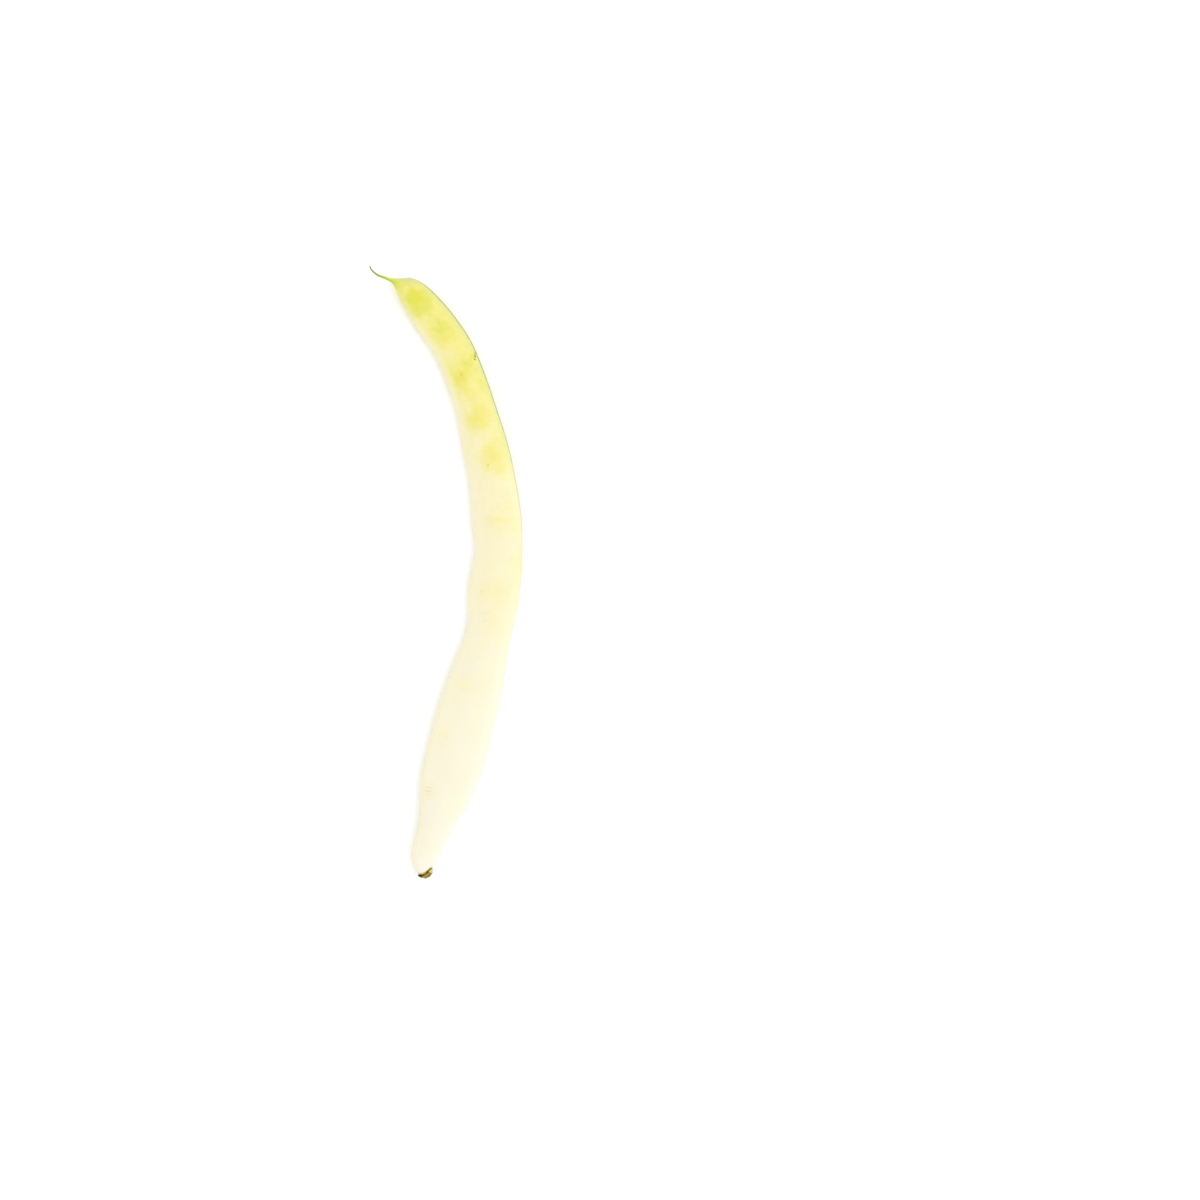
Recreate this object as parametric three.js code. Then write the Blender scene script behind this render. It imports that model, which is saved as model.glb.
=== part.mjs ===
// A flat-podded wax bean as picked: a long pale pod, bowed like a sickle and lying on its flat side,
// with a thin hooked beak at one end and the dry cap of its broken stalk at the other.
//
// Units are millimetres. +Y runs from the stalk end to the beak, +X towards the back seam and +Z up.
// The origin is on the surface that the pod lies on, under the middle of its box.

import * as THREE from 'three';
import { LoftGeometry } from 'three/addons/geometries/LoftGeometry.js';

// The two seams of the pod as seen from above, stalk end first. Point i of one faces point i of the
// other across the pod. The back seam is smooth, and the belly seam swells and pinches between seeds.
const BACK_SEAM = [
  [-4.7, -94.4], [-3.3, -92.9], [-1.9, -90.8], [0.1, -86.5], [2.9, -81.1], [7.1, -74.8],
  [10.8, -66.4], [13.2, -58.4], [15.3, -50.4], [17.3, -41.7], [18.6, -34.4], [19.7, -27.0],
  [20.9, -20.6], [22.6, -13.2], [23.7, -6.2], [24.4, 1.5], [24.5, 9.5], [24.2, 18.4],
  [22.5, 29.6], [19.9, 41.2], [16.5, 52.0], [12.7, 63.2], [8.1, 74.1], [2.5, 82.4],
  [-2.8, 88.5], [-7.0, 92.2], [-10.8, 94.1], [-13.9, 94.1],
];
const BELLY_SEAM = [
  [-9.0, -96.4], [-10.3, -94.0], [-11.0, -91.0], [-10.2, -86.5], [-8.6, -80.1], [-8.1, -73.4],
  [-7.9, -65.7], [-6.0, -56.8], [-3.9, -48.4], [-1.7, -40.4], [0.9, -33.1], [3.7, -26.0],
  [6.0, -20.6], [7.3, -14.5], [7.1, -7.8], [7.9, -0.1], [9.5, 7.6], [8.3, 16.8],
  [7.6, 28.4], [5.5, 38.6], [3.6, 49.8], [0.1, 60.7], [-3.9, 70.0], [-9.1, 77.6],
  [-13.1, 84.2], [-15.3, 88.5], [-16.3, 91.1], [-17.0, 92.4],
];

// The stalk end closes in a lopsided dome, tip first. Each row is one ring: its share of the end's
// width, how far out it lies, and how far its middle is from the end's, towards the back seam, as a
// share of half that width.
const END_DOME = [[0.28, 1.0, -0.22], [0.43, 0.84, -0.24], [0.62, 0.5, -0.14], [0.81, 0.2, -0.02]];

// The beak is a hooked, tapering thread drawn along its middle, from the pod outwards.
const BEAK_LINE = [
  [-17.4, 93.6], [-19.5, 94.4], [-21.7, 95.2], [-23.1, 96.2], [-24.0, 97.2], [-24.3, 98.1],
];
const BEAK_ROOT_WIDTH = 1.35;
const BEAK_TIP_WIDTH = 0.4;

const FULL_THICKNESS = 7.0; // the thickness that a very wide stretch of pod would reach
const THICKENING_WIDTH = 6.5; // the width over which the pod fills out towards it
const FACE_ROUNDNESS = 0.72; // 1 gives an ellipse, less gives flatter faces and fuller shoulders
const SEAT_HEIGHT = 0.85; // the pod's middle lies this high above the surface,
const SEAT_SHARE = 0.8; // and higher by this share of its half thickness

const SEAM_RIDGE = 0.35; // how far each seam's string stands out of the wall
const SEAM_RIDGE_ANGLE = 0.16; // its half width, in radians round the section
const SEAM_RIDGE_FULL_WIDTH = 6; // pod width from which the string has its full height

const FIRST_SEED = 22; // millimetres along the pod's middle, from the stalk end
const SEED_PITCH = 15.6;
const SEED_COUNT = 11;
const SEED_HALF_WIDTH = 0.5; // as a share of the pod's half width
const SEED_SWELL = 0.42; // how far a seed lifts each face
const SEED_SWELL_SPREAD = 0.12; // how much that differs from seed to seed
const SEED_VARIES = 2.4; // radians from one seed to the next in that difference

const STALK_END_LIFT = 1.0; // the two ends curl up off the surface by these heights
const BEAK_END_LIFT = 2.6;
const LIFT_FROM = 60; // distance from the origin at which the curl begins
const LIFT_TO = 98;
const ROLL_AT_BEAK = THREE.MathUtils.degToRad(7); // the back seam turns upwards towards the beak

const STEPS_PER_POINT = 3; // sections from one drawn point to the next
const POINTS_ROUND = 32;
const SEAM_CROWDING = 0.25; // draws the points round a section closer together at the seams

// The cap left by the stalk: a shallow cup that fits the dome, with five worn lobes and a broken stub.
// Its rim reaches down the two seams and keeps off the pod's faces. Each row of its wall is one ring:
// share of the cap's reach and height along its axis, both at the seams and then both at the faces,
// and share of a lobe.
const CAP_RADIUS = 2.5; // from the cap's axis to its wall at a seam
const CAP_HALF_HEIGHT = 2.0; // and at a face of the pod
const CAP_WALL = [
  [0.3, 1.4, 0.3, 1.4, 0], [0.6, 1.44, 0.42, 1.44, 0], [0.87, 0.85, 0.55, 1.34, 0],
  [0.97, 0.47, 0.62, 1.18, 1], [1.02, 0.52, 0.72, 1.16, 1], [1.0, 1.0, 0.84, 1.45, 0.6],
  [0.9, 1.75, 0.86, 1.85, 0.3], [0.76, 2.2, 0.74, 2.22, 0], [0.45, 2.26, 0.45, 2.26, 0],
  [0.38, 2.5, 0.38, 2.5, 0],
];
const CAP_LOBES = 5;
const CAP_LOBE_DEPTH = 0.06; // as a share of the radius
const CAP_LEAN = 0.16; // how far the outer rings shift towards the back seam, per millimetre of height
const CAP_POINTS_ROUND = 30;

/** A smooth curve through evenly counted points: t = 0 is the first point, t = 1 the second. */
function pointOn(points, t) {
  const i = Math.min(Math.floor(t), points.length - 2);
  const f = t - i;
  const at = (k) => points[THREE.MathUtils.clamp(k, 0, points.length - 1)];
  return [0, 1].map((axis) => {
    const [p0, p1, p2, p3] = [at(i - 1)[axis], at(i)[axis], at(i + 1)[axis], at(i + 2)[axis]];
    const slope1 = (p2 - p0) / 2;
    const slope2 = (p3 - p1) / 2;
    return (2 * f ** 3 - 3 * f ** 2 + 1) * p1 + (f ** 3 - 2 * f ** 2 + f) * slope1
      + (3 * f ** 2 - 2 * f ** 3) * p2 + (f ** 3 - f ** 2) * slope2;
  });
}

/** The middle of the stalk end, the direction along it to the back seam and the way that it faces. */
function stalkEnd() {
  const back = new THREE.Vector2(...BACK_SEAM[0]);
  const belly = new THREE.Vector2(...BELLY_SEAM[0]);
  const across = back.clone().sub(belly);
  const halfWidth = across.length() / 2;
  across.normalize();
  const middle = back.add(belly).divideScalar(2);
  const outward = new THREE.Vector2(across.y, -across.x);
  return { middle, across, outward, halfWidth };
}

/** Both seams from the tip of the stalk end's dome to the tip of the beak, as matching points. */
function wholeSeams() {
  const { middle, across, outward, halfWidth } = stalkEnd();
  const domePoint = ([share, out, shift], side) => middle.clone()
    .addScaledVector(across, (shift + side * share) * halfWidth)
    .addScaledVector(outward, out)
    .toArray();
  const back = [...END_DOME.map((ring) => domePoint(ring, 1)), ...BACK_SEAM];
  const belly = [...END_DOME.map((ring) => domePoint(ring, -1)), ...BELLY_SEAM];
  BEAK_LINE.forEach(([x, y], i) => {
    const before = BEAK_LINE[Math.max(i - 1, 0)];
    const after = BEAK_LINE[Math.min(i + 1, BEAK_LINE.length - 1)];
    const along = new THREE.Vector2(after[0] - before[0], after[1] - before[1]).normalize();
    const share = i / (BEAK_LINE.length - 1);
    const half = THREE.MathUtils.lerp(BEAK_ROOT_WIDTH, BEAK_TIP_WIDTH, Math.sqrt(share)) / 2;
    back.push([x + along.y * half, y - along.x * half]);
    belly.push([x - along.y * half, y + along.x * half]);
  });
  return { back, belly };
}

const thicknessAt = (width) => FULL_THICKNESS * (1 - Math.exp(-width / THICKENING_WIDTH));

function liftAt(y) {
  const share = Math.max(0, (Math.abs(y) - LIFT_FROM) / (LIFT_TO - LIFT_FROM));
  return (y > 0 ? BEAK_END_LIFT : STALK_END_LIFT) * share ** 2;
}

const heightAt = (width, y) => SEAT_HEIGHT + SEAT_SHARE * thicknessAt(width) / 2 + liftAt(y);

/** How far the seeds push a face outwards, along the pod and across it (-1 to 1). */
function seedSwell(along, across) {
  const place = (along - FIRST_SEED) / SEED_PITCH;
  const seed = Math.round(place);
  if (seed < 0 || seed >= SEED_COUNT) return 0;
  const size = SEED_SWELL + SEED_SWELL_SPREAD * Math.sin(SEED_VARIES * seed);
  return size * Math.cos(Math.PI * place) ** 2 * Math.exp(-((across / SEED_HALF_WIDTH) ** 2));
}

/** The straight line across the pod from seam to seam at t. */
function crossingAt(seams, t) {
  const back = new THREE.Vector2(...pointOn(seams.back, t));
  const belly = new THREE.Vector2(...pointOn(seams.belly, t));
  const outward = back.clone().sub(belly);
  const width = outward.length();
  return { middle: back.add(belly).divideScalar(2), outward: outward.normalize(), width };
}

/** One closed ring round the pod, from the back seam under the pod to the belly seam and over it. */
function podSection({ middle, outward, width }, height, along) {
  const ridge = SEAM_RIDGE * Math.min(1, width / SEAM_RIDGE_FULL_WIDTH) ** 2;
  const halfWidth = width / 2 - ridge;
  const halfThickness = thicknessAt(width) / 2;
  const roll = ROLL_AT_BEAK * THREE.MathUtils.smoothstep(middle.y, -LIFT_TO, LIFT_TO);
  const ring = [];
  for (let j = 0; j < POINTS_ROUND; j += 1) {
    const even = (j / POINTS_ROUND) * 2 * Math.PI;
    const angle = even - SEAM_CROWDING * Math.sin(2 * even);
    const side = Math.cos(angle);
    const rise = -Math.sin(angle);
    const fromSeam = Math.abs(rise) / SEAM_RIDGE_ANGLE;
    const across = side * halfWidth + Math.sign(side) * ridge * Math.exp(-(fromSeam ** 2));
    const swell = seedSwell(along, side) * Math.min(1, Math.abs(rise) * 2);
    const up = Math.sign(rise) * (halfThickness * Math.abs(rise) ** FACE_ROUNDNESS + swell);
    const level = across * Math.cos(roll) - up * Math.sin(roll);
    const z = height + up * Math.cos(roll) + across * Math.sin(roll);
    const inPlan = middle.clone().addScaledVector(outward, level);
    ring.push(new THREE.Vector3(inPlan.x, inPlan.y, Math.max(z, 0)));
  }
  return ring;
}

/** The whole pod with its beak, grown as one piece. The dome lies as high as the end that it closes. */
function podGeometry() {
  const seams = wholeSeams();
  const last = (seams.back.length - 1) * STEPS_PER_POINT;
  const sections = [];
  let along = 0;
  let before = null;
  for (let step = 0; step <= last; step += 1) {
    const crossing = crossingAt(seams, step / STEPS_PER_POINT);
    const seat = crossingAt(seams, Math.max(step / STEPS_PER_POINT, END_DOME.length));
    if (before) along += crossing.middle.distanceTo(before);
    before = crossing.middle;
    sections.push(podSection(crossing, heightAt(seat.width, seat.middle.y), along));
  }
  return new LoftGeometry(sections, { closed: true, capStart: true, capEnd: true });
}

/** The dry cap, drawn with its axis along +Z: the side that faces the pod is below, the stub on top. */
function capGeometry() {
  const rings = CAP_WALL.map(([seamShare, seamHeight, faceShare, faceHeight, lobeShare]) => {
    const ring = [];
    for (let j = 0; j < CAP_POINTS_ROUND; j += 1) {
      const angle = (j / CAP_POINTS_ROUND) * 2 * Math.PI;
      const towardsFace = Math.sin(angle) ** 2;
      const share = THREE.MathUtils.lerp(seamShare, faceShare, towardsFace);
      const height = THREE.MathUtils.lerp(seamHeight, faceHeight, towardsFace);
      const reach = share * (1 + lobeShare * CAP_LOBE_DEPTH * Math.cos(CAP_LOBES * angle));
      const x = CAP_RADIUS * reach * Math.cos(angle) + CAP_LEAN * height;
      ring.push(new THREE.Vector3(x, CAP_HALF_HEIGHT * reach * Math.sin(angle), height));
    }
    return ring;
  });
  return new LoftGeometry(rings, { closed: true, capStart: true, capEnd: true });
}

/** Turns the cap to face out of the pod's stalk end and sets it over the dome there. */
function placeCap(cap) {
  const { middle, across, outward, halfWidth } = stalkEnd();
  const axisX = new THREE.Vector3(across.x, across.y, 0);
  const axisZ = new THREE.Vector3(outward.x, outward.y, 0);
  const axisY = new THREE.Vector3().crossVectors(axisZ, axisX);
  cap.quaternion.setFromRotationMatrix(new THREE.Matrix4().makeBasis(axisX, axisY, axisZ));
  cap.position.set(middle.x, middle.y, heightAt(2 * halfWidth, middle.y));
}

const podSkin = new THREE.MeshStandardMaterial({ color: 0xf9efb0, roughness: 0.45, metalness: 0 });
const dryHusk = new THREE.MeshStandardMaterial({ color: 0x8c7a2e, roughness: 0.8, metalness: 0 });

const pod = new THREE.Mesh(podGeometry(), podSkin);
pod.name = 'pod';

const stalkCap = new THREE.Mesh(capGeometry(), dryHusk);
stalkCap.name = 'stalk_cap';
placeCap(stalkCap);

const bean = new THREE.Group();
bean.add(pod, stalkCap);

export default bean;
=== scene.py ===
# %% [markdown]
# # A wax bean pod
# This notebook gives one freshly picked, pale, flat bean pod its looks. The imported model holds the
# two solids, the pod and the dry cap of its stalk. They are loaded first as a fixed frame, and each
# is then replaced by a finer piece that keeps its form and its place.

# %% Load the solid pod and its cap
import math

import bmesh
import bpy
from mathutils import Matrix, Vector, noise


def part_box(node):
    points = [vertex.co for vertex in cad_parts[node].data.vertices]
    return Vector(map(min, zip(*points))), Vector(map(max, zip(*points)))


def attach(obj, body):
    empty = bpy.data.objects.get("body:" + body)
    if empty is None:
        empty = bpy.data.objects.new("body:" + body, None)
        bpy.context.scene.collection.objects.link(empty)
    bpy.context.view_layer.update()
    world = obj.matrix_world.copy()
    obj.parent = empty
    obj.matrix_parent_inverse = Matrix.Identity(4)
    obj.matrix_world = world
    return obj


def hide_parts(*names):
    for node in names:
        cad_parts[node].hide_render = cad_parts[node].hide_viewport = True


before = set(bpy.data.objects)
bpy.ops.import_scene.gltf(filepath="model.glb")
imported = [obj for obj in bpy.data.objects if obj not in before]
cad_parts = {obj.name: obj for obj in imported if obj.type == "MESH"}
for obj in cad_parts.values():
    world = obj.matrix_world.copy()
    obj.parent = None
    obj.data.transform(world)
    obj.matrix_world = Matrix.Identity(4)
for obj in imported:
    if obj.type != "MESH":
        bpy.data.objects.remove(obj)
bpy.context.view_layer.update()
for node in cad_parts:
    low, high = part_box(node)
    print(node, "measures", [round(side * 1000, 2) for side in high - low], "mm")

# %% [markdown]
# ## The table, the light and the camera
# The pod lies on a matt white table top. The light of a big soft window comes from the right, and a
# white room fills in the rest, so that shadows stay faint. The camera hangs a metre above the table
# and looks straight down. Colours are shown as they are, with no film curve, because a film curve
# would turn the white table grey.

# %% The table
MM = 0.001
scene = bpy.context.scene
scene.view_settings.view_transform = "Standard"


def linear(hex_colour):
    """The linear colour, with full alpha, of an sRGB colour written in hex."""
    parts = [int(hex_colour[i:i + 2], 16) / 255 for i in (1, 3, 5)]
    return [*(p / 12.92 if p <= 0.04045 else ((p + 0.055) / 1.055) ** 2.4 for p in parts), 1.0]


TABLE_HALF = 3.0  # metres
TABLE_DROP = 0.02 * MM  # keeps the table's face just off the flat spots that the pod rests on
table_mesh = bpy.data.meshes.new("table_top")
corners = [(x * TABLE_HALF, y * TABLE_HALF, -TABLE_DROP) for x, y in ((-1, -1), (1, -1), (1, 1), (-1, 1))]
table_mesh.from_pydata(corners, [], [(0, 1, 2, 3)])
table = bpy.data.objects.new("table_top", table_mesh)
scene.collection.objects.link(table)

# Pressed laminate has a fine, even grain, so the table looks plain white and shows no highlight.
matt_white = bpy.data.materials.new("Matt white laminate")
matt_white.use_nodes = True
white_paint = matt_white.node_tree.nodes["Principled BSDF"]
white_paint.inputs["Base Color"].default_value = linear("#f6f6f6")
white_paint.inputs["Roughness"].default_value = 0.9
white_paint.inputs["Specular IOR Level"].default_value = 0.2
table_mesh.materials.append(matt_white)
print("the table top is", 2 * TABLE_HALF, "metres wide")

# %% The light of the room, and of a window to the right
ROOM_STRENGTH = 1.235
WINDOW_SIZE = 1.1  # metres
WINDOW_POWER = 5.3  # watts
WINDOW_PLACE = (1.04, -0.08, 1.1)  # metres

room = bpy.data.worlds.new("White room")
room.use_nodes = True
room.node_tree.nodes["Background"].inputs["Color"].default_value = (1, 1, 1, 1)
room.node_tree.nodes["Background"].inputs["Strength"].default_value = ROOM_STRENGTH
scene.world = room

window = bpy.data.lights.new("Window", "AREA")
window.shape = "SQUARE"
window.size = WINDOW_SIZE
window.energy = WINDOW_POWER
window_object = bpy.data.objects.new("Window", window)
window_object.location = WINDOW_PLACE
window_object.rotation_euler = (-window_object.location).to_track_quat("-Z", "Y").to_euler()
scene.collection.objects.link(window_object)
print("the window hangs", round(window_object.location.length, 2), "metres from the pod")

# %% The camera
CAMERA_OVER = (49.34 * MM, -8.77 * MM)  # the point of the table under the camera
CAMERA_HEIGHT = 1.0034
SENSOR_WIDTH = 36.0  # mm, as is the lens
LENS = 93.75
POD_MIDDLE = 3.4 * MM  # the height of the pod's middle, at which the view's width is measured
camera_data = bpy.data.cameras.new("Overhead camera")
camera_data.sensor_width = SENSOR_WIDTH
camera_data.lens = LENS
camera = bpy.data.objects.new("Overhead camera", camera_data)
camera.location = (*CAMERA_OVER, CAMERA_HEIGHT)
scene.collection.objects.link(camera)
scene.camera = camera
view_width = SENSOR_WIDTH / LENS * (CAMERA_HEIGHT - POD_MIDDLE)
print("the camera's view is", round(view_width / MM), "mm wide")

# %% [markdown]
# ## The two seams
# A bean pod is one leaf folded along its rib, so it has two seams: the back one is smooth, and the
# belly one, where the seeds hang, swells and pinches. The pod could be sculpted or boxed out by
# hand, but its whole form follows from where these two seams run. They are drawn as two splines of
# one curve object, stalk end first, and point i of one faces point i of the other.

# %% Where the two seams run
BACK_SEAM = [  # x and y in mm, as are all the seams' places
    (-4.7, -94.4), (-3.3, -92.9), (-1.9, -90.8), (0.1, -86.5), (2.9, -81.1), (7.1, -74.8),
    (10.8, -66.4), (13.2, -58.4), (15.3, -50.4), (17.3, -41.7), (18.6, -34.4), (19.7, -27.0),
    (20.9, -20.6), (22.6, -13.2), (23.7, -6.2), (24.4, 1.5), (24.5, 9.5), (24.2, 18.4),
    (22.5, 29.6), (19.9, 41.2), (16.5, 52.0), (12.7, 63.2), (8.1, 74.1), (2.5, 82.4),
    (-2.8, 88.5), (-7.0, 92.2), (-10.8, 94.1), (-13.9, 94.1),
]
BELLY_SEAM = [
    (-9.0, -96.4), (-10.3, -94.0), (-11.0, -91.0), (-10.2, -86.5), (-8.6, -80.1), (-8.1, -73.4),
    (-7.9, -65.7), (-6.0, -56.8), (-3.9, -48.4), (-1.7, -40.4), (0.9, -33.1), (3.7, -26.0),
    (6.0, -20.6), (7.3, -14.5), (7.1, -7.8), (7.9, -0.1), (9.5, 7.6), (8.3, 16.8),
    (7.6, 28.4), (5.5, 38.6), (3.6, 49.8), (0.1, 60.7), (-3.9, 70.0), (-9.1, 77.6),
    (-13.1, 84.2), (-15.3, 88.5), (-16.3, 91.1), (-17.0, 92.4),
]
END_DOME = [  # share of the end's half width, mm out from the end, shift as a share of the half width
    (0.28, 1.0, -0.22), (0.43, 0.84, -0.24), (0.62, 0.5, -0.14), (0.81, 0.2, -0.02),
]
BEAK_LINE = [(-17.4, 93.6), (-19.5, 94.4), (-21.7, 95.2), (-23.1, 96.2), (-24.0, 97.2), (-24.3, 98.1)]
BEAK_ROOT_WIDTH = 1.35  # mm
BEAK_TIP_WIDTH = 0.4
print("places along the back seam:", len(BACK_SEAM), "and along the belly seam:", len(BELLY_SEAM))

# %% Draw the two seams
back_end = Vector(BACK_SEAM[0])
belly_end = Vector(BELLY_SEAM[0])
end_middle = (back_end + belly_end) / 2
end_half_width = (back_end - belly_end).length / 2
end_across = (back_end - belly_end).normalized()
end_outward = Vector((end_across.y, -end_across.x))


def seam_points(seam, side):
    """One seam with the dome before it and the beak after it. Side is 1 at the back, -1 at the belly."""
    dome = [
        end_middle + end_across * (shift + side * share) * end_half_width + end_outward * out
        for share, out, shift in END_DOME
    ]
    beak = []
    for i, point in enumerate(BEAK_LINE):
        before = Vector(BEAK_LINE[max(i - 1, 0)])
        after = Vector(BEAK_LINE[min(i + 1, len(BEAK_LINE) - 1)])
        along = (after - before).normalized()
        share = math.sqrt(i / (len(BEAK_LINE) - 1))
        half = (BEAK_ROOT_WIDTH + (BEAK_TIP_WIDTH - BEAK_ROOT_WIDTH) * share) / 2
        beak.append(Vector(point) + Vector((along.y, -along.x)) * side * half)
    return [*dome, *seam, *beak]


seams = bpy.data.curves.new("seams", "CURVE")
seams.dimensions = "3D"
for side, seam in ((1, BACK_SEAM), (-1, BELLY_SEAM)):
    points = seam_points(seam, side)
    spline = seams.splines.new("POLY")
    spline.points.add(len(points) - 1)
    for control, (x, y) in zip(spline.points, points):
        control.co = (x * MM, y * MM, 0, 1)
print("each seam has", len(points), "points")

# %% [markdown]
# ## A helper for node trees
# Both the geometry trees and the finishes below are node trees. One small function adds a node, sets
# it up, plugs in what it is fed and hands back the socket that the next node needs.

# %% Add a node
def add(tree, kind, feeds=(), operation=None, out=0, **settings):
    """Adds a node, feeds its sockets from values or other sockets, and returns one of its outputs."""
    node = tree.nodes.new(kind)
    if operation:
        node.operation = operation
    for name, value in settings.items():
        setattr(node, name, value)
    for key, value in feeds.items() if isinstance(feeds, dict) else enumerate(feeds):
        if isinstance(value, bpy.types.NodeSocket):
            tree.links.new(value, node.inputs[key])
        else:
            node.inputs[key].default_value = value
    return node.outputs[out] if node.outputs else node


# %% Start a geometry tree, and run one
SOCKETS = {int: "NodeSocketInt", float: "NodeSocketFloat"}


def start_tree(name, sizes):
    """A geometry tree with a named input for each size, and the sockets that give them."""
    tree = bpy.data.node_groups.new(name, "GeometryNodeTree")
    tree.interface.new_socket("Geometry", in_out="INPUT", socket_type="NodeSocketGeometry")
    tree.interface.new_socket("Geometry", in_out="OUTPUT", socket_type="NodeSocketGeometry")
    tree.interface.new_socket("Finish", in_out="INPUT", socket_type="NodeSocketMaterial")
    for label, value in sizes.items():
        tree.interface.new_socket(label, in_out="INPUT", socket_type=SOCKETS[type(value)])
    given = tree.nodes.new("NodeGroupInput")
    return tree, {socket.name: socket for socket in given.outputs if socket.name}


def end_tree(tree, shape, finish):
    """Ends a tree: copies become real faces, which are shaded smooth and given their finish."""
    real = add(tree, "GeometryNodeRealizeInstances", (shape,))
    smooth = add(tree, "GeometryNodeSetShadeSmooth", (real,))
    finished = add(tree, "GeometryNodeSetMaterial", {"Geometry": smooth, "Material": finish})
    add(tree, "NodeGroupOutput", (finished,))


def run_tree(tree, host, sizes, finish):
    """Runs a tree on an object that is then removed, and returns the result as a plain mesh."""
    scene.collection.objects.link(host)
    modifier = host.modifiers.new(tree.name, "NODES")
    modifier.node_group = tree
    for item in tree.interface.items_tree:
        if item.in_out == "INPUT" and item.name in sizes:
            modifier[item.identifier] = sizes[item.name]
        if item.name == "Finish":
            modifier[item.identifier] = finish
    mesh = bpy.data.meshes.new_from_object(host.evaluated_get(bpy.context.evaluated_depsgraph_get()))
    host.modifiers.remove(modifier)
    bpy.data.objects.remove(host)
    return mesh


# %% [markdown]
# ## Growing the pod between its seams
# The pod could be modelled face by face, but every cross-section of it follows one rule: two nearly
# flat faces that meet in a string at each seam, and that swell where a seed lies. So Geometry Nodes
# sweep a plain tube along the line midway between the seams, and then move each of its points to
# where the rule says. The sizes are the tree's inputs, so another pod needs only other numbers.

# %% The pod's sizes
POD_SIZES = {
    "Rings per point": 12,
    "Points round": 132,
    "Dome points": len(END_DOME),
    "Full thickness": 7.0 * MM,
    "Thickening width": 6.5 * MM,
    "Face roundness": 0.72,
    "Seat height": 0.85 * MM,
    "Seat share": 0.8,
    "String height": 0.35 * MM,
    "String half angle": 0.16,
    "Full string width": 6.0 * MM,
    "Seam crowding": 0.25,
    "First seed": 22.0 * MM,
    "Seed pitch": 15.6 * MM,
    "Seed count": 11,
    "Seed half width": 0.5,
    "Seed swell": 0.42 * MM,
    "Seed spread": 0.12 * MM,
    "Seed varies": 2.4,
    "Stalk end lift": 1.0 * MM,
    "Beak end lift": 2.6 * MM,
    "Lift from": 60.0 * MM,
    "Lift to": 98.0 * MM,
    "Roll at beak": math.radians(7),
    "Relief height": 0.05 * MM,
    "Relief size": 7.0 * MM,
    "Soft end": 5.0 * MM,
    "End rounding": 60,
}
pod_tree, size = start_tree("Pod between its seams", POD_SIZES)
print("a pod of", POD_SIZES["Seed count"], "seeds,", round(POD_SIZES["Seed pitch"] / MM, 1), "mm apart")

# %% Smooth the seams and find the line midway between them
MATH = "ShaderNodeMath"
VECTOR_MATH = "ShaderNodeVectorMath"
MIX = "ShaderNodeMix"
SAMPLE = "GeometryNodeSampleIndex"
SET_POSITION = "GeometryNodeSetPosition"

index = add(pod_tree, "GeometryNodeInputIndex")
place = add(pod_tree, "GeometryNodeInputPosition")
curves = add(pod_tree, "GeometryNodeCurveSplineType", (size["Geometry"],), spline_type="CATMULL_ROM")
curves = add(
    pod_tree, "GeometryNodeSetSplineResolution",
    {"Geometry": curves, "Resolution": size["Rings per point"]},
)
curves = add(pod_tree, "GeometryNodeResampleCurve", (curves,), mode="EVALUATED")
both_counts = add(pod_tree, "GeometryNodeAttributeDomainSize", (curves,), component="CURVE")
rings = add(pod_tree, MATH, (both_counts, 2), "DIVIDE")


def seams_at(ring):
    """Where the back seam and the belly seam are at a ring."""
    on_back = add(pod_tree, SAMPLE, (curves, place, ring), data_type="FLOAT_VECTOR")
    opposite = add(pod_tree, MATH, (ring, rings), "ADD")
    on_belly = add(pod_tree, SAMPLE, (curves, place, opposite), data_type="FLOAT_VECTOR")
    return on_back, on_belly


def middle_and_width(ring):
    """The point midway between the seams at a ring, and the distance between them."""
    on_back, on_belly = seams_at(ring)
    halfway = {"Factor": 0.5, 4: on_back, 5: on_belly}  # 4 and 5 are the sockets for vectors
    middle = add(pod_tree, MIX, halfway, out=1, data_type="VECTOR")
    width = add(pod_tree, VECTOR_MATH, (on_back, on_belly), "DISTANCE", out="Value")
    return middle, width


middle, _ = middle_and_width(index)
back_only = add(pod_tree, "GeometryNodeDeleteGeometry", (curves, index), domain="CURVE")
midline = add(pod_tree, SET_POSITION, {"Geometry": back_only, "Position": middle})
print("nodes for the midline:", len(pod_tree.nodes))

# %% How thick the pod is, and how high it lies
FALL_OFF = 1 / math.e  # to the power of a distance, it falls smoothly from 1 towards 0
JOIN_XYZ = "ShaderNodeCombineXYZ"
SPLIT_XYZ = "ShaderNodeSeparateXYZ"


def half_thickness_of(width):
    """Half the pod's thickness where it has a given width: wide stretches are fuller."""
    shares = add(pod_tree, MATH, (width, size["Thickening width"]), "DIVIDE")
    missing = add(pod_tree, MATH, (FALL_OFF, shares), "POWER")
    full = add(pod_tree, MATH, (size["Full thickness"], 0.5), "MULTIPLY")
    return add(pod_tree, MATH, (full, add(pod_tree, MATH, (1.0, missing), "SUBTRACT")), "MULTIPLY")


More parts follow.
